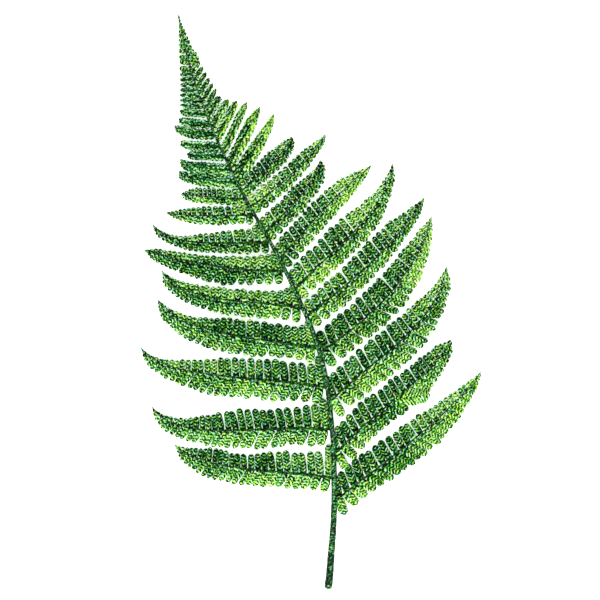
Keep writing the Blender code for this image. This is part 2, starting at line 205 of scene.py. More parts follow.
RIGHT_PINNAE = [
    (
        -199.5, (170.2, -69.8), (39, 51), EVEN, 27,
        (19, 21, 20.5, 17, 11.1, 4.9), (17.5, 17, 19.5, 21, 14.7, 8),
        ((0.0, DARK), (0.45, DARK), (0.52, MID), (0.62, LIT), (0.75, BRIGHT), (1.0, VIVID)),
        ((0.0, BRIGHT), (0.15, BRIGHT), (0.24, DIM), (0.38, DIM),
         (0.46, LIT), (0.60, BRIGHT), (1.0, BRIGHT)),
    ),
    (
        -153.5, (140.2, -37.8), (50, 56), EVEN, 24,
        (18, 19, 19.5, 17.5, 14.6, 9.9), (19, 17, 15.5, 19, 14.5, 10.2),
        ((0.0, DARK), (0.80, DARK), (0.88, MID), (1.0, LIT)),
        ((0.0, LIT), (0.20, BRIGHT), (0.28, DIM), (0.44, DARK),
         (0.53, LIT), (0.68, BRIGHT), (0.76, MID), (1.0, DIM)),
    ),
    (
        -100.5, (135.2, 35.2), (46, 80), EVEN, 26,
        (19, 21, 21.5, 20, 14.1, 5.9), (19, 19.5, 21.5, 19.6, 13.7, 8.5),
        ((0.0, DARK), (0.55, DARK), (0.65, MID), (0.76, BRIGHT), (0.85, VIVID), (1.0, BRIGHT)),
        ((0.0, BRIGHT), (0.20, VIVID), (0.32, LIT), (0.62, LIT),
         (0.74, DIM), (0.85, LIT), (1.0, BRIGHT)),
    ),
    (
        -50.5, (120.2, 85.2), (33, 75), EVEN, 25,
        (19, 19.5, 20.5, 18, 15.1, 8.4), (20, 17.5, 19.5, 18.5, 12, 6.2),
        ((0.0, DARK), (0.45, DARK), (0.70, DIM), (0.78, MID), (0.86, BRIGHT), (1.0, VIVID)),
        ((0.0, LIT), (0.20, MID), (0.35, MID), (0.46, MID),
         (0.54, LIT), (0.64, VIVID), (1.0, VIVID)),
    ),
    (
        -14.5, (113.2, 104.2), (37, 58), EVEN, 25,
        (14, 14.5, 16, 18, 14.6, 6.4), (15, 15, 13.5, 11.5, 8.5, 6),
        ((0.0, LIT), (0.32, LIT), (0.42, DIM), (0.56, DARK), (0.75, MID), (1.0, LIT)),
        ((0.0, LIT), (0.45, LIT), (0.56, LIT), (0.68, MID), (0.78, DIM), (1.0, MID)),
    ),
    (
        11.5, (81.2, 138.2), (48, 80), EVEN, 24,
        (17, 18.8, 20, 18, 9.3, 3.8), (15, 14.5, 15, 15, 10, 6.1),
        ((0.0, LIT), (0.16, MID), (0.26, DARK), (0.46, DIM),
         (0.62, VIVID), (0.80, BRIGHT), (1.0, LIT)),
        ((0.0, VIVID), (0.18, VIVID), (0.32, BRIGHT), (0.45, LIT), (0.60, MID), (1.0, MID)),
    ),
    (
        42.5, (60.2, 136.2), (48, 39), EVEN, 23,
        (13, 14, 14, 13.5, 10.8, 4.3), (13.2, 13.7, 13.2, 12.2, 9.5, 6),
        ((0.0, LIT), (0.15, DIM), (0.42, DARK), (0.52, MID),
         (0.64, BRIGHT), (0.75, VIVID), (1.0, VIVID)),
        ((0.0, MID), (0.40, LIT), (0.52, BRIGHT), (0.64, VIVID), (1.0, VIVID)),
    ),
    (
        68.5, (9.2, 141.2), (45, 73), EVEN, 17,
        (13, 14, 12, 12.5, 7.3, 2.4), (12, 11.5, 12, 12, 11.2, 8.3),
        ((0.0, BRIGHT), (0.12, MID), (0.40, DIM), (0.60, DARK), (0.78, LIT), (1.0, BRIGHT)),
        ((0.0, MID), (0.40, MID), (0.52, LIT), (0.64, DIM), (0.80, DARK), (1.0, DARK)),
    ),
    (
        94.5, (14.2, 167.2), (30, 53), EVEN, 17,
        (11, 11, 11, 10.5, 8.1, 3.4), (10, 10, 9, 8.5, 7, 5.5),
        ((0.0, VIVID), (0.30, VIVID), (0.42, MID), (0.54, DARK),
         (0.68, DIM), (0.78, LIT), (0.88, VIVID), (1.0, BRIGHT)),
        ((0.0, MID), (0.15, DIM), (0.28, LIT), (0.40, MID), (1.0, MID)),
    ),
    (
        109.5, (-19.5, 164.5), (45, 65), EVEN, 15,
        (8, 9, 10.5, 12, 8.5, 5.5), (9, 9, 9.5, 9.5, 9, 6.5),
        ((0.0, VIVID), (0.12, LIT), (0.26, DARK), (0.55, DARK), (0.65, MID), (1.0, LIT)),
        ((0.0, DIM), (0.28, MID), (0.50, DARK), (0.65, DIM), (0.80, DARK), (1.0, DARK)),
    ),
    (
        121.5, (-37.5, 187.5), (58, 67), EVEN, 16,
        (7.5, 7.5, 7.5, 6.5, 4.5, 3), (8, 8, 7.5, 7, 6, 3.5),
        ((0.0, DARK), (0.30, DARK), (0.42, MID), (0.62, LIT), (0.76, VIVID), (1.0, VIVID)),
        ((0.0, MID), (0.15, MID), (0.30, BRIGHT), (0.50, BRIGHT), (0.65, VIVID), (1.0, VIVID)),
    ),
    (
        135.5, (-51.5, 194.5), (62, 66), EVEN, 15,
        (5.5, 5.5, 6, 7, 6.5, 4), (6, 6, 6.5, 6.5, 4.5, 3),
        ((0.0, DARK), (0.60, DARK), (0.70, MID), (0.78, VIVID), (1.0, VIVID)),
        ((0.0, DIM), (0.14, MID), (0.26, VIVID), (0.60, VIVID), (1.0, VIVID)),
    ),
    (
        148.5, (-64.5, 199.5), (62, 70), EVEN, 14,
        (5, 5, 5, 5.5, 5.5, 4), (5, 4.5, 4, 3.5, 3, 2.5),
        ((0.0, BRIGHT), (0.20, LIT), (0.42, MID), (0.65, LIT), (1.0, VIVID)),
        ((0.0, LIT), (0.30, BRIGHT), (1.0, VIVID)),
    ),
    (
        161.5, (-75.0, 200.5), (62, 68), EVEN, 12,
        (5, 5, 5, 5, 4.8, 3.8), (4.2, 4.2, 4.2, 4.2, 4.2, 3.2),
        ((0.0, MID), (0.50, DIM), (0.80, MID), (1.0, LIT)),
        ((0.0, LIT), (0.30, VIVID), (1.0, VIVID)),
    ),
    (
        172.5, (-83.5, 202.0), (62, 66), EVEN, 11,
        (4.4, 4.4, 4.4, 4.4, 4.4, 3.4), (4, 4, 4, 4, 4, 3.2),
        ((0.0, MID), (0.60, MID), (1.0, VIVID)),
        ((0.0, LIT), (0.30, BRIGHT), (1.0, VIVID)),
    ),
    (
        183.0, (-91.5, 205.0), (62, 66), EVEN, 10,
        (4.2, 4.2, 4.2, 4.2, 4.2, 3.2), (4, 4, 4, 4, 4, 3.2),
        ((0.0, DIM), (1.0, DIM)),
        ((0.0, LIT), (0.60, MID), (1.0, MID)),
    ),
]

# One broad leaflet that lies twisted over its neighbours
BROAD_LEAFLET = {
    "pinna": "pinna_right_02",
    "share": 0.50,
    "tip": 118.0 - 93.0j,
    "width": 16.0,
    "lift": 1.2,
    "slope": 0.5,
}

# The topmost small pinnae follow a rule: the first foot and the step from foot to
# foot, and how much paler each next tip is in painted light and shade. On the
# left, where the tips are and how much less each next one rises. On the right, the
# length and heading.
TOP_LEFT = {
    "first": 194.3,
    "step": 5.5,
    "count": 7,
    "headings": (180, 168),
    "tip_x": -131.4,
    "rise": 2.0,
    "fall": 0.40,
    "paler": 0.015,
}
TOP_RIGHT = {
    "first": 191.5,
    "step": 7.4,
    "count": 6,
    "headings": (58, 68),
    "length": 23.7,
    "shorter": 2.0,
    "turn": 62,
    "paler": 0.02,
}
TOP_REACH = (2.8, 2.8, 2.8, 2.8, 2.5, 2.0)
TOP_PAIRS = 7

# Apex: lobes set straight on the rachis
APEX_START = 227.0
APEX_LOBES = 12
APEX_FIRST = 1.0
APEX_REACH = 10.4
APEX_LEANS = {1: 14.0, -1: 40.0}
APEX_POWER = 1.2
APEX_END_REACH = 1.5
APEX_END_POWER = 3
# Tones of the apex lobes, painted light and shade
APEX_TONES = ((0.0, MID), (1.0, LIT))
APEX_BLUE = -0.25
APEX_SCATTER = 3.0
APEX_FILL = 0.98
APEX_RIB_RADIUS = 0.75
APEX_RIB_TAPER = 0.45
APEX_STEPS = 60

# Ribs, and the roof that the leaflets of a pinna form
RIB_RADIUS = 1.75
RIB_TIP_RADIUS = 0.55
RIB_STEPS = 121
RIGHT_SLIMNESS = 0.72
SLIMMEST = 0.45
FULL_SIZE_REACH = 16.0
RIB_FLATNESS = 0.6
RIB_SIDES = 8
RIB_GROOVE = 0.72
RIB_RING_STEP = 2.5
LEAST_RINGS = 5
RIB_ARCH = 3.4
TIP_HEIGHT = 0.6
ROOF_SLOPE = 0.22

# Lean of the leaflets towards the rib's tip, and how far those near the foot turn
# to lie along the rachis
LEAN_UP = 8.0
LEAN_DOWN = 26.0
RACHIS_SHARE = 0.9
RACHIS_SHARE_REACH = 16.0

# Small pinnae, and the longer leaflets next to the rachis on the left
SMALL_REACH = 8.2
# Pinnae narrower than PALER_REACH get their painted light and shade tone lifted
SMALL_PALER = 0.07
PALER_REACH = 12.0
BASAL_GROWTH = 0.45
BASAL_GROWTH_REACH = 11.0

# A row of leaflets: where it starts, in radii of the rachis, where it ends, how
# the pitch falls towards the tip, how far the two rows are staggered, and where
# the leaflets start beside the rib's middle, in radii of the rib
LEFT_START = 0.4
RIGHT_START = 0.1
ROW_END = 0.985
PITCH_FALL = 0.55
STAGGER = 0.22
FOOT_INSET = 0.55

# Width of leaflets as a share of their pitch, in the upper and the lower row: as a
# rule, in the lowest left pinnae, in the next left ones and in small pinnae.
# Crowded leaflets are as wide as their room.
FILL = (0.95, 1.10)
LOW_LEFT_FILL = (0.97, 1.05)
LOW_LEFT_END = -60.0
CLOSE_FILL = (1.04, 1.10)
CLOSE_END = 45.0
SMALL_FILL = (1.35, 1.35)
SPARE_FILL = 0.1
WIDEST_AT = 0.6
LEAST_WIDTH = 1.0
LEAST_LENGTH = 0.9

# How much leaflets differ by chance
STRAY = 0.02
PINNA_SCATTER = 1.3
REACH_SCATTER = 0.035
TONE_SCATTER = 0.09
LIFT_SCATTER = 0.22
TILT_SCATTER = 0.03
HOOK = 0.035
HOOK_SCATTER = 0.02

# Grid of a leaflet: its columns across, and the length of a row
COLUMNS = np.array([-1.0, -0.84, -0.52, -0.2, 0.0, 0.2, 0.52, 0.84, 1.0])
MIDDLE = len(COLUMNS) // 2
ROW_STEP = 0.8
LEAST_ROWS = 5
MOST_ROWS = 39

# Outline of a leaflet, in shares of its length and half width
END_LENGTH = 1.6
END_START = 0.3
END_POWERS = (2.2, 0.62)
BODY_WIDTH = 0.93
TIP_WIDTH = 0.07
FOOT_WIDTH = 0.84
FOOT_WIDENING = 0.16
FOOT_END = 0.18
TAPER_START = 1.03
TAPER = 0.13
CRENATION = 0.06

# Slant of the side veins
SHEAR_BY_WIDTH = 0.75
SHEAR_BY_LENGTH = 0.22
SHEAR_FULL_AT = 0.2
SHEAR_FADE_POWER = 3

# Relief of a leaflet
VEIN_PITCH = 3.3
VEIN_HEIGHT = 0.34
PUCKER_START = 0.12
PUCKER_FADE = 0.7
PUCKER_FADE_POWER = 6
PUCKER_CROWN = (0.8, 0.7)
MIDVEIN_DEPTH = 0.38
MIDVEIN_WIDTH = 0.17
MIDVEIN_FADE = 0.8
CAMBER = 0.12
MARGIN_CURL = 0.22
CURL_POWER = 6
FULL_RELIEF_HALF = 2.6

# How a leaflet lies
THICKNESS = 0.55
FLOOR_CLEARANCE = 0.35
SPINE_CLEARANCE = FLOOR_CLEARANCE / 2
RIB_CLEARANCE = FLOOR_CLEARANCE * 0.4
FLOOR_RELIEF = 0.8
SIDE_TILT = 0.13
DROOP = 0.5
FULL_DROOP_LENGTH = 18.0

# Painted shade within a leaflet: in the row towards the apex it darkens and turns
# bluer towards the outer end, a painted sky reflection in shade, and in every row
# it darkens at the foot beside the rib; and the blue of the row towards the apex
OUTER_SHADE = 0.35
SHADE_IN_TONE = 0.5
SHADE_IN_BLUE = 2
FOOT_SHADE = 0.40
FOOT_SHADE_END = 0.25
BLUE_UP = 1.8

# Tone, draw and blue of a rib or the stalk, whose materials don't read them
PLAIN_TONES = (0.5, 0.5, 0.0)
UPPER_SLOT = 0
UNDER_SLOT = 1
RIB_SLOT = 2
SHARP_ANGLE = math.radians(55)


def smoothstep(a, b, x):
    t = np.clip((x - a) / (b - a), 0.0, 1.0)
    return t * t * (3 - 2 * t)


def smooth_through(y, column):
    """Value of a rachis column at y, by a cubic through the stations."""
    stations = np.array(RACHIS_STATIONS)
    levels = stations[:, 1]
    values = stations[:, column]
    slopes = np.gradient(values, levels)
    i = np.clip(np.searchsorted(levels, y) - 1, 0, len(levels) - 2)
    span = levels[i + 1] - levels[i]
    t = np.clip((y - levels[i]) / span, 0.0, 1.0)
    start = (1 + 2 * t) * (1 - t) ** 2 * values[i] + t * (1 - t) ** 2 * span * slopes[i]
    end = t * t * (3 - 2 * t) * values[i + 1] - t * t * (1 - t) * span * slopes[i + 1]
    return start + end


def rachis_radius(y):
    stations = np.array(RACHIS_STATIONS)
    return np.maximum(np.interp(y, stations[:, 1], stations[:, 2]), LEAST_RADIUS)


def rachis_plan(y):
    return smooth_through(y, 0) + 1j * np.asarray(y)


def rachis_height(y):
    lift = LIFT_TOP * smoothstep(FLAT_END, CLIMB_END, y)
    lift = lift * (1.0 - smoothstep(FALL_START, APEX_Y, y))
    return rachis_radius(np.maximum(y, FULL_RADIUS_FROM)) * FLAT_DEPTH + lift


def rachis_way(y):
    way = rachis_plan(y + WAY_STEP) - rachis_plan(y - WAY_STEP)
    return way / abs(way)


def turned(degrees):
    return np.exp(1j * np.radians(degrees))


def to_points(plan, height):
    """Points in space from plan points and heights."""
    return np.stack([plan.real, plan.imag, height], axis=-1)


class Rib:
    """A rib in plan with a height along it, read at shares of its own length."""

    def __init__(self, plan, height_of):
        self.plan = plan
        steps = np.abs(np.diff(plan))
        self.travel = np.concatenate(([0.0], np.cumsum(steps)))
        self.length = float(self.travel[-1])
        way = np.gradient(plan)
        self.ways = way / np.abs(way)
        self.height = height_of

    def read(self, values, share):
        place = np.asarray(share) * self.length
        real = np.interp(place, self.travel, values.real)
        return real + 1j * np.interp(place, self.travel, values.imag)

    def at(self, share):
        return self.read(self.plan, share)

    def way(self, share):
        way = self.read(self.ways, share)
        return way / np.abs(way)


def pinna_rib(foot_y, tip, headings, handles):
    start = rachis_plan(foot_y)
    end = complex(*tip)
    chord = abs(end - start)
    before_end = end - turned(headings[1]) * handles[1] * chord
    after_start = start + turned(headings[0]) * handles[0] * chord
    t = np.linspace(0, 1, RIB_STEPS)
    plan = start * (1 - t) ** 3 + after_start * 3 * t * (1 - t) ** 2
    plan = plan + before_end * 3 * t * t * (1 - t) + end * t ** 3
    foot_height = float(rachis_height(foot_y))

    def height(share):
        fall = foot_height * (1 - share ** 2) + TIP_HEIGHT * share ** 2
        return fall + RIB_ARCH * 4 * share * (1 - share)

    return Rib(plan, height)


def apex_rib():
    levels = np.linspace(APEX_START, APEX_Y, APEX_STEPS)

    def height(share):
        return rachis_height(APEX_START + (APEX_Y - APEX_START) * share)

    return Rib(rachis_plan(levels), height)


class Shells:
    """Points, faces and point values of one piece, gathered shell by shell."""

    def __init__(self):
        self.points = []
        self.faces = []
        self.slots = []
        self.places = []
        self.tones = []
        self.sides = []
        self.count = 0

    def add(self, points, faces, slots, places, tones, sides):
        self.points.append(points)
        self.faces.extend((np.array(f) + self.count).tolist() for f in faces)
        self.slots.extend(slots)
        self.places.append(places)
        self.tones.append(tones)
        self.sides.append(sides)
        self.count += len(points)

    def add_tube(self, rings, travel, around, slot):
        """A closed tube from its rings of points, placed by travel and by angle."""
        count, sides = rings.shape[:2]
        faces = tube_faces(count - 1, sides)
        along = np.repeat(travel, sides)
        places = np.stack([along, np.tile(around, count), along], axis=-1)
        tones = np.tile(PLAIN_TONES, (count * sides, 1))
        points = rings.reshape(-1, 3)
        self.add(points, faces, [slot] * len(faces), places, tones, np.ones(len(points)))

    def make(self, name, materials):
        mesh = bpy.data.meshes.new(name)
        mesh.from_pydata(np.concatenate(self.points) * MM, [], self.faces)
        for material in materials:
            mesh.materials.append(material)
        mesh.polygons.foreach_set("material_index", self.slots)
        for label, values in (("leaf_place", self.places), ("leaf_tone", self.tones)):
            attribute = mesh.attributes.new(label, "FLOAT_VECTOR", "POINT")
            attribute.data.foreach_set("vector", np.concatenate(values).ravel())
        attribute = mesh.attributes.new("leaf_side", "FLOAT", "POINT")
        attribute.data.foreach_set("value", np.concatenate(self.sides))
        mesh.shade_smooth()
        mesh.set_sharp_from_angle(angle=SHARP_ANGLE)
        mesh.update()
        piece = bpy.data.objects.new(name, mesh)
        bpy.context.scene.collection.objects.link(piece)
        return piece


def tube_faces(rings, sides):
    """Faces of a closed tube: quads between its rings, and one face on each end."""
    faces = []
    for r in range(rings):
        for k in range(sides):
            a = r * sides + k
            b = r * sides + (k + 1) % sides
            faces.append((a, b, b + sides, a + sides))
    faces.append(tuple(reversed(range(sides))))
    faces.append(tuple(rings * sides + k for k in range(sides)))
    return faces


def leaflet_faces(rows):
    """Faces of a leaflet's shell: upper grid, two strips below, and the two ends."""
    columns = len(COLUMNS)
    last = columns - 1
    spine = (rows + 1) * columns
    faces = []
    slots = []
    for r in range(rows):
        for c in range(last):
            a = r * columns + c
            faces.append((a, a + columns, a + columns + 1, a + 1))
            slots.append(UPPER_SLOT)
        a = r * columns
        faces.append((a, spine + r, spine + r + 1, a + columns))
        faces.append((spine + r, a + last, a + columns + last, spine + r + 1))
        slots += [UNDER_SLOT] * 2
    end = rows * columns
    for c in range(last):
        faces.append((c, c + 1, spine))
        faces.append((end + c + 1, end + c, spine + rows))
        slots += [UNDER_SLOT] * 2
    return faces, slots


FACES_BY_ROWS = {rows: leaflet_faces(rows) for rows in range(LEAST_ROWS, MOST_ROWS + 1)}


def leaflet_outline(u, length, half, phase):
    """Half width along a leaflet, as a share of its full half width."""
    cap = max(1 - END_LENGTH * half / length, END_START)
    beyond = np.clip((u - cap) / (1 - cap), 0, 1)
    outline = (1 - beyond ** END_POWERS[0]) ** END_POWERS[1] * BODY_WIDTH + TIP_WIDTH
    outline = outline * (FOOT_WIDTH + FOOT_WIDENING * smoothstep(0.0, FOOT_END, u))
    outline = outline * (TAPER_START - TAPER * u)
    return outline * (1 + CRENATION * np.cos(2 * np.pi * phase))


def leaflet_relief(u, v, half, phase):
    """Height over a leaflet's own plane: camber, puckers, midvein and curled margin."""
    side = np.abs(v)
    fade = smoothstep(0.0, PUCKER_START, u) * (1 - PUCKER_FADE * u ** PUCKER_FADE_POWER)
    crown = np.sin(np.pi * side ** PUCKER_CROWN[0]) ** PUCKER_CROWN[1]
    pucker = VEIN_HEIGHT * np.sin(2 * np.pi * phase) * fade * crown
    groove = MIDVEIN_DEPTH * np.exp(-(v / MIDVEIN_WIDTH) ** 2) * (1 - MIDVEIN_FADE * u)
    camber = CAMBER * 2 * half * (1 - v ** 2) - MARGIN_CURL * side ** CURL_POWER * half
    return (camber + pucker - groove) * min(half / FULL_RELIEF_HALF, 1.0)


def leaflet_tones(leaf, u, rng):
    """Tone, draw and blue at each point of a leaflet, with painted shade at the foot and outer
    end.
    """
    out = np.concatenate([np.repeat(u, len(COLUMNS)), u.ravel()])
    draw = np.full(len(out), rng.random())
    tone = leaf["tone"] - leaf["shade"] * SHADE_IN_TONE * (out - 0.5)
    tone = tone - FOOT_SHADE * (1 - smoothstep(0.0, FOOT_SHADE_END, out))
    blue = leaf["blue"] + leaf["shade"] * out * SHADE_IN_BLUE
    return np.stack([tone, draw, blue], axis=-1)


def add_leaflet(shells, leaf, rng):
    """One leaflet, laid out along its own axis and lowered by the pinna's roof."""
    length = leaf["length"]
    half = leaf["width"] / 2
    rows = int(np.clip(round(length / ROW_STEP), LEAST_ROWS, MOST_ROWS))
    u = np.linspace(0, 1, rows + 1)[:, None]
    v = COLUMNS[None, :]
    side = np.abs(v)
    phase = u * length / VEIN_PITCH + leaf["phase"]
    outline = leaflet_outline(u, length, half, phase)
    shear = min(half * SHEAR_BY_WIDTH, SHEAR_BY_LENGTH * length)
    shear = shear * smoothstep(0.0, SHEAR_FULL_AT, u) * (1 - u ** SHEAR_FADE_POWER)
    along = u * length + side * outline * shear
    across = v * outline * half
    hook = leaf["hook"] * (along / length) ** 2 * length
    plan = leaf["foot"] + leaf["way"] * (along + 1j * (across + hook))
    relief = leaflet_relief(u, v, half, phase)
    roof = leaf["height"] - leaf["slope"] * along
    droop = leaf["droop"] * (along / length) ** 2
    height = roof + relief + droop + leaf["tilt"] * across
    lowest = FLOOR_CLEARANCE + THICKNESS + relief * FLOOR_RELIEF * (side < 1.0)
    upper = to_points(plan, np.maximum(height, lowest))
    below = upper[:, MIDDLE] - np.array([0, 0, THICKNESS])
    below[:, 2] = np.maximum(below[:, 2], SPINE_CLEARANCE)
    place = np.stack(np.broadcast_arrays(phase, across, u * length), axis=-1)
    faces, slots = FACES_BY_ROWS[rows]
    shells.add(
        np.concatenate([upper.reshape(-1, 3), below]),
        faces,
        slots,
        np.concatenate([place.reshape(-1, 3), place[:, MIDDLE]]),
        leaflet_tones(leaf, u, rng),
        np.concatenate([np.tile(COLUMNS, rows + 1), np.zeros(rows + 1)]),
    )


def add_rib(shells, rib, radius_at):
    """A rib as a tapered tube with a shallow groove along its top."""
    rings = max(int(rib.length / RIB_RING_STEP), LEAST_RINGS)
    share = np.linspace(0, 1, rings + 1)
    angle = np.linspace(0, 2 * np.pi, RIB_SIDES, endpoint=False) + np.pi / 2
    bulge = np.ones(RIB_SIDES)
    bulge[0] = RIB_GROOVE
    out = radius_at(share)[:, None] * bulge[None, :]
    square = (rib.way(share) * 1j)[:, None]
    plan = rib.at(share)[:, None] + square * out * -np.cos(angle)[None, :]
    height = rib.height(share)[:, None] + out * RIB_FLATNESS * np.sin(angle)[None, :]
    tube = to_points(plan, np.maximum(height, RIB_CLEARANCE))
    shells.add_tube(tube, share * rib.length, np.sin(angle), RIB_SLOT)


def row_index(row, side):
    """0 for the row towards the apex, 1 for the other, as its values are listed."""
    return 0 if side == row["up_side"] else 1


def row_shares(rib, row, side, rng):
    """Where along the rib the leaflets of a row stand, and their pitch in shares."""
    count = row["pairs"]
    steps = 1 - PITCH_FALL * np.arange(count) / count
    edges = np.concatenate(([0.0], np.cumsum(steps)))
    first = row["first"] / rib.length
    edges = first + (ROW_END - first) * edges / edges[-1]
    pitch = np.diff(edges)
    share = (edges[:-1] + edges[1:]) / 2 + (STAGGER * pitch if side > 0 else 0.0)
    return share + rng.normal(0, STRAY, count) * pitch, pitch


def row_of_leaflets(rib, row, side, rng):
    """Leaflets of one side of a rib: their shares, feet, ways, sizes and squareness."""
    count = row["pairs"]
    share, pitch = row_shares(rib, row, side, rng)
    rib_way = rib.way(share)
    way = rib_way * turned(side * (90 - row["leans"][side]))
    along = np.where((way * np.conj(row["rachis_way"])).real > 0, 1, -1) * row["rachis_way"]
    pull = row["rachis_share"] * np.exp(-share * rib.length / RACHIS_SHARE_REACH)
    way = way * (1 - pull) + along * pull
    way = way / np.abs(way) * turned(rng.normal(0, row["scatter"], count))
    square = np.abs((way * np.conj(rib_way)).imag)
    start = row["radius"](share) * FOOT_INSET
    foot = rib.at(share) + rib_way * 1j * side * start
    reach = row["reach"](share, side) * (1 + rng.normal(0, REACH_SCATTER, count))
    length = np.maximum(reach - start, LEAST_LENGTH) / square
    widest = foot + way * length * WIDEST_AT
    spacing = np.abs((np.conj(way[:-1]) * np.diff(widest)).imag)
    room = np.concatenate((spacing[:1], (spacing[:-1] + spacing[1:]) / 2, spacing[-1:]))
    fill = row["fill"][row_index(row, side)]
    width = np.minimum(pitch * rib.length * square * fill, room * (fill + SPARE_FILL))
    return share, foot, way, length, np.maximum(width, LEAST_WIDTH), square


def row_tones(row, share, side, rng):
    """Brightness of each leaflet in a row as painted light and shade, 0 (deep green) to 1 (pale).
    """
    stops = np.array(row["tones"][row_index(row, side)])
    tone = np.interp(share, stops[:, 0], stops[:, 1])
    return tone + row["paler"] + rng.normal(0, TONE_SCATTER, len(share))


def add_row(shells, rib, row, side, rng):
    share, foot, way, length, width, square = row_of_leaflets(rib, row, side, rng)
    tones = row_tones(row, share, side, rng)
    lift = rng.normal(0, LIFT_SCATTER, len(share))
    towards_apex = side == row["up_side"]
    for i in range(len(share)):
        leaf = {
            "foot": foot[i],
            "way": way[i],
            "length": length[i],
            "width": width[i],
            "height": float(rib.height(share[i])),
            "slope": ROOF_SLOPE * square[i],
            "droop": (lift[i] - DROOP) * (length[i] / FULL_DROOP_LENGTH),
            "tilt": SIDE_TILT * side * row["up_side"] + rng.normal(0, TILT_SCATTER),
            "hook": -side * rng.normal(HOOK, HOOK_SCATTER),
            "phase": rng.random(),
            "tone": tones[i],
            "blue": row["blue"] * (BLUE_UP if towards_apex else 1.0),
            "shade": OUTER_SHADE if towards_apex else 0.0,
        }
        add_leaflet(shells, leaf, rng)


def add_broad_leaflet(shells, rib, rng):
    """The one leaflet twisted over its neighbours, broad, its pale tone painted light."""
    share = BROAD_LEAFLET["share"]
    foot = rib.at(share)
    way = BROAD_LEAFLET["tip"] - foot
    leaf = {
        "foot": foot,
        "way": way / abs(way),
        "length": abs(way),
        "width": BROAD_LEAFLET["width"],
        "height": float(rib.height(share)) + BROAD_LEAFLET["lift"],
        "slope": ROOF_SLOPE * BROAD_LEAFLET["slope"],
        "tone": BRIGHT,
    }
    leaf.update(dict.fromkeys(("droop", "tilt", "hook", "phase", "blue", "shade"), 0.0))
    add_leaflet(shells, leaf, rng)


def pinna_reach(rib, up_reach, down_reach, right, small):
    """Reach of the leaflets along a pinna, as a function of share and side."""
    up_side = 1 if right else -1
    growth = 0.0 if small else BASAL_GROWTH

    def reach_at(share, side):
        listed = up_reach if side == up_side else down_reach
        reach = np.interp(share, REACH_SHARES, (*listed, REACH_TIP))
        if side != up_side or right:
            return reach
        beside = (share * rib.length / BASAL_GROWTH_REACH) ** 2
        return reach * (1 + growth * np.exp(-beside))

    return reach_at


def pinna_fill(foot_y, right, small):
    """Fill of the row towards the apex and of the other row of a pinna."""
    if small:
        return SMALL_FILL
    if right or foot_y > CLOSE_END:
        return FILL
    return LOW_LEFT_FILL if foot_y < LOW_LEFT_END else CLOSE_FILL


def make_branch(name, rib, row, materials, rng):
    """A rib with a row of leaflets on each side, as one piece."""
    shells = Shells()
    for side in (1, -1):
        add_row(shells, rib, row, side, rng)
    if name == BROAD_LEAFLET["pinna"]:
        add_broad_leaflet(shells, rib, rng)
    add_rib(shells, rib, row["radius"])
    return shells.make(name, materials)


def make_pinna(name, pinna, right, materials, rng):
    foot_y, tip, headings, handles, pairs, up_reach, down_reach, up_tones, down_tones = pinna
    rib = pinna_rib(foot_y, tip, headings, handles)
    widest = max(*up_reach, *down_reach)
    small = widest < SMALL_REACH
    stout = min(SLIMMEST + (1 - SLIMMEST) * widest / FULL_SIZE_REACH, 1.0)
    stout = stout * (RIGHT_SLIMNESS if right else 1.0)

    def radius(share):
        return (RIB_RADIUS + (RIB_TIP_RADIUS - RIB_RADIUS) * share) * stout

    row = {
        "pairs": pairs,
        "first": float(rachis_radius(foot_y)) * (RIGHT_START if right else LEFT_START),
        "leans": {1: LEAN_UP, -1: LEAN_DOWN} if right else {1: LEAN_DOWN, -1: LEAN_UP},
        "rachis_way": rachis_way(foot_y),
        "rachis_share": RACHIS_SHARE,
        "radius": radius,
        "reach": pinna_reach(rib, up_reach, down_reach, right, small),
        "up_side": 1 if right else -1,
        "tones": (up_tones, down_tones),
        "paler": SMALL_PALER if widest < PALER_REACH else 0.0,
        "blue": 1.0 if small and not right else 0.0,
        "scatter": PINNA_SCATTER,
        "fill": pinna_fill(foot_y, right, small),
    }
    return make_branch(name, rib, row, materials, rng)


def make_apex(materials, rng):
    def radius(share):
        return APEX_RIB_RADIUS - APEX_RIB_TAPER * share

    def reach_at(share, _side):
        full = APEX_REACH * (1 - share) ** APEX_POWER
        return full + APEX_END_REACH * (1 - share ** APEX_END_POWER)

    row = {
        "pairs": APEX_LOBES,
        "first": APEX_FIRST,
        "leans": APEX_LEANS,
        "rachis_way": rachis_way(APEX_START),
        "rachis_share": 0.0,
        "radius": radius,
        "reach": reach_at,
        "up_side": 1,
        "tones": (APEX_TONES, APEX_TONES),
        "paler": 0.0,
        "blue": APEX_BLUE,
        "scatter": APEX_SCATTER,
        "fill": (APEX_FILL, APEX_FILL),
    }
    return make_branch("frond_apex", apex_rib(), row, materials, rng)


def top_pinna(rule, i, foot_y, tip):
    tones = ((0.0, MID), (1.0, DIM + rule["paler"] * i))
    curve = (rule["headings"], EVEN)
    return (foot_y, tip, *curve, TOP_PAIRS, TOP_REACH, TOP_REACH, tones, tones)


def top_pinnae():
    """The small pinnae between the last listed ones and the apex."""
    for i in range(TOP_LEFT["count"]):
        foot_y = TOP_LEFT["first"] + TOP_LEFT["step"] * i
        tip = (TOP_LEFT["tip_x"], foot_y + TOP_LEFT["rise"] - TOP_LEFT["fall"] * i)
        yield False, top_pinna(TOP_LEFT, i, foot_y, tip)
    for i in range(TOP_RIGHT["count"]):
        foot_y = TOP_RIGHT["first"] + TOP_RIGHT["step"] * i
        length = TOP_RIGHT["length"] - TOP_RIGHT["shorter"] * i
        tip = rachis_plan(foot_y) + turned(TOP_RIGHT["turn"] - i) * length
        yield True, top_pinna(TOP_RIGHT, i, foot_y, (tip.real, tip.imag))


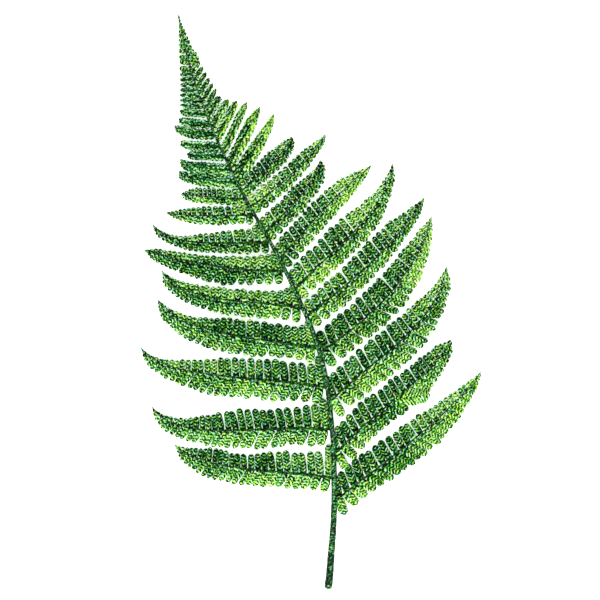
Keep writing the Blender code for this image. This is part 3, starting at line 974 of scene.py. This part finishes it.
# Stalk: its tube, the rounding of its cut end, and the ribs and groove along it
STALK_SIDES = 24
STALK_RING_STEP = 1.6
CUT_ROUNDING = 2.5
CUT_RINGS = 6
CUT_FIRST_ANGLE = 0.15
CUT_LEAST = 0.05
STALK_RIBS = 6
STALK_RIB_DEPTH = 0.05
STALK_TURN = 0.085
STALK_GROOVE = 0.16
STALK_GROOVE_WIDTH = 0.35
STALK_CLEARANCE = 0.05


def make_stalk(material):
    """Stalk and rachis: fine ribs that wind slowly round it, and a groove on top."""
    rounded_to = CUT_END + CUT_ROUNDING
    levels = np.arange(rounded_to, APEX_Y, STALK_RING_STEP)
    angles = np.linspace(CUT_FIRST_ANGLE, np.pi / 2, CUT_RINGS)[:-1]
    levels = np.concatenate((CUT_END + CUT_ROUNDING * (1 - np.cos(angles)), levels))
    inward = 1 - (levels - CUT_END) / CUT_ROUNDING
    round_off = np.sqrt(np.clip(1 - inward ** 2, CUT_LEAST, 1))
    round_off = np.where(levels < rounded_to, round_off, 1.0)
    radius = rachis_radius(np.maximum(levels, FULL_RADIUS_FROM)) * round_off
    centre = rachis_plan(levels)
    way = np.gradient(centre)
    way = way / np.abs(way)
    angle = np.linspace(0, 2 * np.pi, STALK_SIDES, endpoint=False)
    wind = STALK_RIBS * (angle[None, :] + STALK_TURN * levels[:, None])
    ribs = 1 + STALK_RIB_DEPTH * np.sin(wind)
    lifted = smoothstep(FLAT_END, CLIMB_END, levels)[:, None]
    top = np.exp(-((angle[None, :] - np.pi / 2) / STALK_GROOVE_WIDTH) ** 2)
    out = radius[:, None] * ribs * (1 - STALK_GROOVE * top * lifted)
    plan = centre[:, None] + way[:, None] * -1j * out * np.cos(angle)[None, :]
    height = rachis_height(levels)[:, None] + out * np.sin(angle)[None, :]
    shells = Shells()
    rings = to_points(plan, np.maximum(height, STALK_CLEARANCE))
    shells.add_tube(rings, levels, angle, 0)
    return shells.make("stalk", [material])


LEAF_LIGHT = 1.4


def colour(red, green, blue):
    """A display colour from 0 to 255 as the linear colour that nodes take."""
    linear = []
    for value in (red, green, blue):
        c = value / 255
        lit = c / 12.92 if c <= 0.04045 else ((c + 0.055) / 1.055) ** 2.4
        linear.append(lit / LEAF_LIGHT)
    return (*linear, 1.0)


# The same green from dark to light, once leaning to blue and once to yellow; on
# the leaflets the blue side carries the painted sky reflection of shaded parts, and
# the palest stops are painted glints as well as pale flecks
COOL = [
    (0.0, colour(0, 14, 11)),
    (0.2, colour(0, 48, 36)),
    (0.4, colour(20, 102, 58)),
    (0.6, colour(52, 162, 88)),
    (0.8, colour(104, 228, 138)),
    (1.0, colour(200, 255, 232)),
]
WARM = [
    (0.0, colour(8, 18, 0)),
    (0.2, colour(36, 66, 0)),
    (0.4, colour(68, 126, 0)),
    (0.6, colour(104, 196, 0)),
    (0.8, colour(156, 246, 14)),
    (1.0, colour(232, 255, 124)),
]
UNDERSIDE = colour(128, 164, 104)
UNDERSIDE_DARK = colour(78, 120, 66)
STALK_BLUSH = colour(72, 14, 60)
STALK_BLUSH_SHARE = 0.14
GREEN_SHEEN = (0.35, 1.0, 0.3, 1.0)


def new_material(name):
    material = bpy.data.materials.new(name)
    material.use_nodes = True
    return material, material.node_tree, material.node_tree.nodes["Principled BSDF"]


def node(tree, kind, inputs=None, **settings):
    """A node with its settings; an input is a value, or a socket to link."""
    made = tree.nodes.new(kind)
    for label, value in settings.items():
        setattr(made, label, value)
    for key, value in (inputs or {}).items():
        if isinstance(value, bpy.types.NodeSocket):
            tree.links.new(value, made.inputs[key])
        else:
            made.inputs[key].default_value = value
    return made


def maths(tree, operation, a, b=0.0, c=0.0):
    inputs = {0: a, 1: b, 2: c}
    return node(tree, "ShaderNodeMath", inputs, operation=operation).outputs[0]


def times(tree, a, b):
    return maths(tree, "MULTIPLY", a, b)


def times_plus(tree, value, amount, addend):
    return maths(tree, "MULTIPLY_ADD", value, amount, addend)


def add_centred(tree, value, amount, addend):
    """Centres a value of about 0 to 1, scales it and adds it to another."""
    return times_plus(tree, maths(tree, "SUBTRACT", value, 0.5), amount, addend)


def noise(tree, scale, detail=2.0, roughness=0.5):
    spot = node(tree, "ShaderNodeTexCoord").outputs["Object"]
    inputs = {"Vector": spot, "Scale": scale, "Detail": detail, "Roughness": roughness}
    return node(tree, "ShaderNodeTexNoise", inputs).outputs["Fac"]


def vector_parts(tree, name):
    attribute = node(tree, "ShaderNodeAttribute", attribute_name=name)
    split = node(tree, "ShaderNodeSeparateXYZ", {0: attribute.outputs["Vector"]})
    return split.outputs[:]


def cells(tree, x, y, z, scale):
    """Two random draws for each cell of a pattern laid on the given coordinates."""
    spot = node(tree, "ShaderNodeCombineXYZ", {0: x, 1: y, 2: z}).outputs[0]
    pattern = node(tree, "ShaderNodeTexVoronoi", {"Vector": spot, "Scale": scale})
    split = node(tree, "ShaderNodeSeparateColor", {0: pattern.outputs["Color"]})
    return split.outputs[0], split.outputs[1]


def ramp(tree, value, stops):
    made = node(tree, "ShaderNodeValToRGB", {"Fac": value})
    elements = made.color_ramp.elements
    for element, (position, shade) in zip(elements, (stops[0], stops[-1])):
        element.position = position
        element.color = shade
    for position, shade in stops[1:-1]:
        elements.new(position).color = shade
    return made.outputs["Color"]


def mix(tree, share, a, b):
    inputs = {0: share, 6: a, 7: b}
    return node(tree, "ShaderNodeMix", inputs, data_type="RGBA").outputs[2]


def green(tree, value, hue):
    return mix(tree, hue, ramp(tree, value, COOL), ramp(tree, value, WARM))


def set_base(tree, shader, base):
    tree.links.new(base, shader.inputs["Base Color"])


def set_gloss(shader, roughness, specular):
    shader.inputs["Roughness"].default_value = roughness
    shader.inputs["Specular IOR Level"].default_value = specular
    shader.inputs["Specular Tint"].default_value = GREEN_SHEEN


def add_bump(tree, shader, height, strength, distance):
    inputs = {"Height": height, "Strength": strength, "Distance": distance}
    bump = node(tree, "ShaderNodeBump", inputs)
    tree.links.new(bump.outputs["Normal"], shader.inputs["Normal"])


# Leaf, upper side: places of its patterns on the leaflet
GRAIN_SCALE = 460.0
CELL_LAYERS = 37.0
FLECK_SCALE = 0.36
SPECK_SCALE = 0.80
SPECK_SHORTENING = 1.35
WAVE_DRIFT = 0.25
RUNG_PITCH = 1.85
RUNG_DRIFT = 3.0
MIDVEIN_NARROWNESS = 5.0
# What each adds to the value, from dark to light: the tone brings the painted
# light and shade of the rows, the wave and puckers paint light on raised parts and
# shade in the furrows, and the specks are flecks that reach up to painted glints
TONE_BASE = 0.05
TONE_SPAN = 0.60
WAVE_VALUE = 0.42
PUCKER_VALUE = 0.20
FLECK_VALUE = 0.22
SPECK_VALUE = 1.25
GRAIN_VALUE = 0.30
MIDVEIN_VALUE = -0.12
# What each adds to the hue, from cool to warm; a low tone and the blue turn shaded
# parts cool, a painted sky reflection; specks count less in pale leaflets
HUE_BASE = 0.32
BLUE_HUE = -0.22
TONE_HUE = 0.48
FLECK_HUE = 0.6
SPECK_HUE = 1.95
SPECK_HUE_BY_TONE = -1.15
LEAST_ROUGHNESS = 0.30
GRAIN_ROUGHNESS = 0.35
PUCKER_RELIEF = 0.5


def leaf_upper_material():
    """Upper side: herringbone puckers with painted shade in their furrows, flecks with painted
    glints, fine grain.
    """
    material, tree, shader = new_material("leaf_upper")
    phase, across, travel = vector_parts(tree, "leaf_place")
    tone, draw, blue = vector_parts(tree, "leaf_tone")
    side = node(tree, "ShaderNodeAttribute", attribute_name="leaf_side").outputs["Fac"]
    fine = noise(tree, GRAIN_SCALE, roughness=0.6)
    layer = times(tree, draw, CELL_LAYERS)
    fleck, tint = cells(tree, travel, across, layer, FLECK_SCALE)
    short = times(tree, travel, SPECK_SHORTENING)
    speck, speck_tint = cells(tree, short, across, layer, SPECK_SCALE)
    drift = times_plus(tree, fine, WAVE_DRIFT, phase)
    wave = maths(tree, "SINE", times(tree, drift, 2 * math.pi))
    rung = times_plus(tree, fine, RUNG_DRIFT, times(tree, across, RUNG_PITCH))
    pucker = times(tree, wave, maths(tree, "SINE", rung))
    edge = maths(tree, "ABSOLUTE", side)
    midvein = maths(tree, "SUBTRACT", 1.0, times(tree, edge, MIDVEIN_NARROWNESS))
    midvein = maths(tree, "MAXIMUM", midvein, 0.0)
    value = times_plus(tree, tone, TONE_SPAN, TONE_BASE)
    value = times_plus(tree, wave, WAVE_VALUE, value)
    value = times_plus(tree, pucker, PUCKER_VALUE, value)
    value = add_centred(tree, fleck, FLECK_VALUE, value)
    value = add_centred(tree, speck, SPECK_VALUE, value)
    value = add_centred(tree, fine, GRAIN_VALUE, value)
    value = times_plus(tree, midvein, MIDVEIN_VALUE, value)
    hue = times_plus(tree, blue, BLUE_HUE, HUE_BASE)
    hue = times_plus(tree, tone, TONE_HUE, hue)
    hue = add_centred(tree, tint, FLECK_HUE, hue)
    spread = times_plus(tree, tone, SPECK_HUE_BY_TONE, SPECK_HUE)
    hue = add_centred(tree, speck_tint, spread, hue)
    set_base(tree, shader, green(tree, value, hue))
    set_gloss(shader, roughness=0.45, specular=0.04)
    rough = times_plus(tree, fine, GRAIN_ROUGHNESS, LEAST_ROUGHNESS)
    tree.links.new(rough, shader.inputs["Roughness"])
    relief = times_plus(tree, pucker, PUCKER_RELIEF, fine)
    add_bump(tree, shader, relief, strength=0.7, distance=0.0005)
    return material


UNDER_GRAIN_SCALE = 420.0
UNDER_WAVE_VALUE = 0.2


def leaf_under_material():
    """Underside: paler and matt, with raised veins."""
    material, tree, shader = new_material("leaf_under")
    phase = vector_parts(tree, "leaf_place")[0]
    fine = noise(tree, UNDER_GRAIN_SCALE, detail=3.0)
    wave = maths(tree, "SINE", times(tree, phase, 2 * math.pi))
    value = times_plus(tree, wave, UNDER_WAVE_VALUE, fine)
    set_base(tree, shader, mix(tree, value, UNDERSIDE_DARK, UNDERSIDE))
    set_gloss(shader, roughness=0.75, specular=0.09)
    add_bump(tree, shader, value, strength=0.6, distance=0.0004)
    return material


RIB_GRAIN_SCALE = 560.0
RIB_GRAIN_VALUE = 0.6
RIB_VALUE_BASE = 0.14
RIB_SPECK_SCALE = 0.75
RIB_SPECK_LAYER = 5.0
RIB_SPECK_VALUE = 0.55
RIB_SPECK_HUE = 0.9
RIB_HUE_BASE = 0.55


def rib_material():
    """Ribs: dark green with fine flecks along them."""
    material, tree, shader = new_material("leaf_rib")
    travel, across = vector_parts(tree, "leaf_place")[:2]
    fine = noise(tree, RIB_GRAIN_SCALE)
    speck, tint = cells(tree, travel, across, RIB_SPECK_LAYER, RIB_SPECK_SCALE)
    value = add_centred(tree, fine, RIB_GRAIN_VALUE, RIB_VALUE_BASE)
    value = add_centred(tree, speck, RIB_SPECK_VALUE, value)
    hue = add_centred(tree, tint, RIB_SPECK_HUE, RIB_HUE_BASE)
    set_base(tree, shader, green(tree, value, hue))
    set_gloss(shader, roughness=0.5, specular=0.04)
    add_bump(tree, shader, fine, strength=0.5, distance=0.0004)
    return material


# Stalk: the slant of its flecks, given as travel and angle, and of its lacework
STALK_GRAIN_SCALE = 480.0
FLECK_WINDING = (0.42, 0.9)
FLECK_LENGTHENING = (0.16, -0.5)
STALK_FLECK = {"z": 3.0, "scale": 1.5}
STALK_SPECK = {"z": 8.0, "scale": 2.6}
LACE_LEAD = 1.75
LACE_TURNS = 2.0
# What each adds to the value and to the hue
LACE_VALUE = 0.26
STALK_VALUE_BASE = 0.12
STALK_FLECK_VALUE = 0.60
STALK_SPECK_VALUE = 1.2
STALK_GRAIN_VALUE = 0.45
STALK_CELL_HUE = 0.5
STALK_HUE_BASE = 0.22


def stalk_material():
    """Stalk: dark green, with pale flecks that wind round it on the slant."""
    material, tree, shader = new_material("stalk_green")
    travel, around = vector_parts(tree, "leaf_place")[:2]
    fine = noise(tree, STALK_GRAIN_SCALE, roughness=0.6)
    by_travel, by_angle = FLECK_WINDING
    wound = times_plus(tree, around, by_angle, times(tree, travel, by_travel))
    by_travel, by_angle = FLECK_LENGTHENING
    length = times_plus(tree, travel, by_travel, times(tree, around, by_angle))
    fleck, tint = cells(tree, wound, length, **STALK_FLECK)
    speck, speck_tint = cells(tree, wound, length, **STALK_SPECK)
    lead = times(tree, travel, LACE_LEAD)
    lace = maths(tree, "SINE", times_plus(tree, around, LACE_TURNS, lead))
    back = maths(tree, "SINE", times_plus(tree, around, -LACE_TURNS, lead))
    value = times_plus(tree, times(tree, lace, back), LACE_VALUE, STALK_VALUE_BASE)
    value = add_centred(tree, fleck, STALK_FLECK_VALUE, value)
    value = add_centred(tree, speck, STALK_SPECK_VALUE, value)
    value = add_centred(tree, fine, STALK_GRAIN_VALUE, value)
    hue = add_centred(tree, tint, STALK_CELL_HUE, STALK_HUE_BASE)
    hue = add_centred(tree, speck_tint, STALK_CELL_HUE, hue)
    base = mix(tree, STALK_BLUSH_SHARE, green(tree, value, hue), STALK_BLUSH)
    set_base(tree, shader, base)
    set_gloss(shader, roughness=0.48, specular=0.05)
    add_bump(tree, shader, value, strength=0.6, distance=0.0006)
    return material


def make_pieces():
    rng = np.random.default_rng(SEED)
    leaf = [leaf_upper_material(), leaf_under_material(), rib_material()]
    pieces = [make_stalk(stalk_material())]
    numbers = {False: 0, True: 0}
    listed = [(False, p) for p in LEFT_PINNAE] + [(True, p) for p in RIGHT_PINNAE]
    for right, pinna in listed + list(top_pinnae()):
        numbers[right] += 1
        label = "right" if right else "left"
        name = f"pinna_{label}_{numbers[right]:02d}"
        pieces.append(make_pinna(name, pinna, right, leaf, rng))
    pieces.append(make_apex(leaf, rng))
    for piece in pieces:
        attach(piece, "root")
        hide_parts("frond")


# Camera, floor and light, in metres
VIEW_CENTRE = (-0.0115, 0.0015)
FRAME_WIDTH = 0.600
LENS = 100.0
SENSOR = 36.0
FLOOR_SIZE = 3.0
FLOOR_COLOUR = (0.93, 0.93, 0.93, 1.0)
FLOOR_ROUGHNESS = 0.9
FLOOR_GLOW = 0.68
FLOOR_GLOW_COLOUR = (0.97, 0.985, 1.0, 1.0)
KEY_POWER = 44.0
KEY_SIZE = 1.1
KEY_PLACE = (-0.25, -1.35, 1.25)
SKY_STRENGTH = 1.05
SKY_COLOUR = (0.93, 0.96, 1.0, 1.0)


def floor_material():
    """White ground that glows like a light table, which keeps shadows faint."""
    material, _tree, shader = new_material("floor_white")
    shader.inputs["Base Color"].default_value = FLOOR_COLOUR
    shader.inputs["Roughness"].default_value = FLOOR_ROUGHNESS
    shader.inputs["Emission Color"].default_value = FLOOR_GLOW_COLOUR
    shader.inputs["Emission Strength"].default_value = FLOOR_GLOW
    return material


def make_floor():
    bpy.ops.mesh.primitive_plane_add(size=FLOOR_SIZE, location=(0, 0, 0))
    floor = bpy.context.object
    floor.name = "floor"
    floor.data.materials.append(floor_material())


def make_camera():
    camera_data = bpy.data.cameras.new("camera")
    camera_data.lens = LENS
    camera_data.sensor_width = SENSOR
    camera = bpy.data.objects.new("camera", camera_data)
    camera.location = (*VIEW_CENTRE, FRAME_WIDTH * LENS / SENSOR)
    bpy.context.scene.collection.objects.link(camera)
    bpy.context.scene.camera = camera


def make_lights():
    key_data = bpy.data.lights.new("key", "AREA")
    key_data.energy = KEY_POWER
    key_data.size = KEY_SIZE
    key = bpy.data.objects.new("key", key_data)
    key.location = KEY_PLACE
    key.rotation_euler = (-Vector(KEY_PLACE)).to_track_quat("-Z", "Y").to_euler()
    bpy.context.scene.collection.objects.link(key)
    world = bpy.data.worlds.new("studio")
    world.use_nodes = True
    background = world.node_tree.nodes["Background"]
    background.inputs["Color"].default_value = SKY_COLOUR
    background.inputs["Strength"].default_value = SKY_STRENGTH
    bpy.context.scene.world = world
    bpy.context.scene.view_settings.view_transform = "Standard"


make_pieces()
make_floor()
make_camera()
make_lights()
